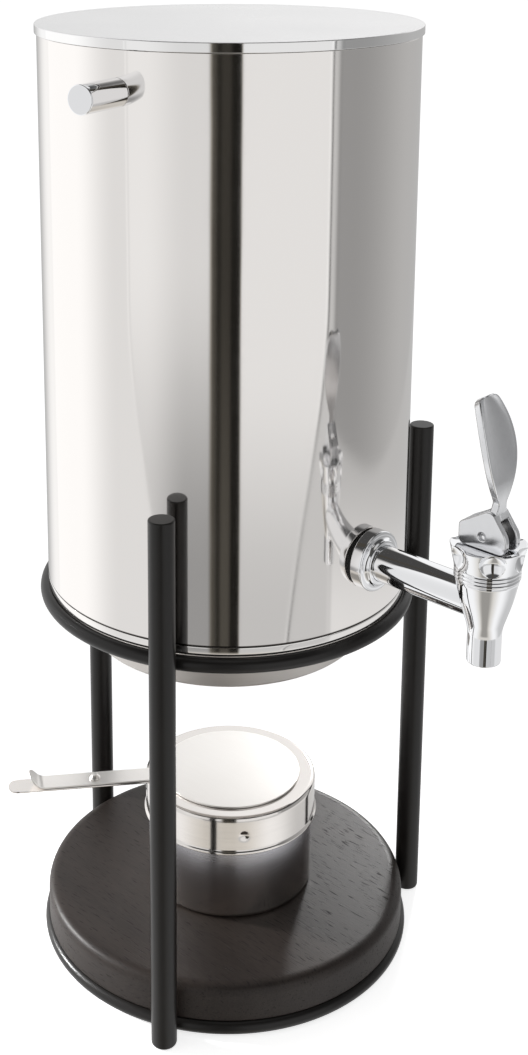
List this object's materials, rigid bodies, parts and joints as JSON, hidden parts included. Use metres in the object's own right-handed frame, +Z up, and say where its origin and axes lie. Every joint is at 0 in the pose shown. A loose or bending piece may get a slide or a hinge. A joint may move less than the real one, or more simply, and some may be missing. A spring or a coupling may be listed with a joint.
{
  "type": "coffee dispenser",
  "caption": "Cylindrical steel coffee urn with a flat lid, side pegs and a lever tap, on a post stand with a wooden base and a fuel burner with a swinging damper.",
  "frame": {"origin": "on the stand's upright axis at floor level, where the feet of the posts stand", "axes": "+Z up along the urn's axis, -Y along the tap, +X to the right seen from the tap's side"},
  "size_m": [0.2796, 0.3434, 0.5813],
  "materials": {
    "black_coat": "satin black powder coat on steel",
    "dark_wood": "espresso-stained open-pore wood, satin lacquer",
    "polished_steel": "mirror-polished stainless steel",
    "satin_steel": "satin stainless steel",
    "tap_chrome": "bright chrome plate",
    "rubber": "matt moulded rubber"
  },
  "bodies": {
    "stand": {"post_front_left": "black_coat", "post_front_right": "black_coat", "post_rear": "black_coat", "support_ring": "black_coat", "base_ring": "black_coat", "base_disc": "dark_wood", "base_screws": "satin_steel"},
    "urn": {"tank_shell": "polished_steel", "tank_pan": "polished_steel", "peg_left": "polished_steel", "peg_right": "polished_steel", "peg_screws": "satin_steel", "tap_flange": "tap_chrome", "tap_outer_gasket": "rubber", "tap_inner_gasket": "rubber", "tap_nut": "tap_chrome", "tap_body": "tap_chrome", "tap_bonnet": "tap_chrome"},
    "lid": {"lid_cover": "polished_steel", "lid_skirt": "satin_steel"},
    "stem": {"tap_stem": "satin_steel", "tap_seat_cup": "rubber", "tap_spring": "satin_steel", "lever_pin": "satin_steel"},
    "lever": {"tap_lever": "tap_chrome"},
    "burner": {"fuel_cup": "polished_steel"},
    "collar": {"fuel_collar": "satin_steel", "damper_rivet": "satin_steel"},
    "damper": {"damper": "satin_steel"}
  },
  "joints": [
    {"name": "urn_lift", "type": "slide", "parent": "stand", "child": "urn", "axis": [0, 0, 1], "range_m": [0, 0.14]},
    {"name": "lid_lift", "type": "slide", "parent": "urn", "child": "lid", "axis": [0, 0, 1], "range_m": [0, 0.1]},
    {"name": "stem_lift", "type": "slide", "parent": "urn", "child": "stem", "axis": [0, 0, 1], "range_m": [0, 0.0078], "deforming": ["tap_spring"]},
    {"name": "lever_tilt", "type": "hinge", "parent": "stem", "child": "lever", "pos_m": [0, -0.19, 0.32523], "axis": [1, 0, 0], "range_deg": [0, 45], "stiffness_Nm_per_rad": 0.4, "springref_deg": -17.19},
    {"name": "burner_draw", "type": "slide", "parent": "stand", "child": "burner", "axis": [-0.7912, 0.6115, 0], "range_m": [0, 0.2]},
    {"name": "collar_lift", "type": "slide", "parent": "burner", "child": "collar", "axis": [0, 0, 1], "range_m": [0, 0.04]},
    {"name": "damper_swing", "type": "hinge", "parent": "collar", "child": "damper", "pos_m": [-0.06638, 0.05131, 0.1031], "axis": [0, 0, 1], "range_deg": [-30, 30]}
  ],
  "couplings": [
    {"joint": "stem_lift", "follows": "lever_tilt", "m_per_rad": 0.0094}
  ]
}
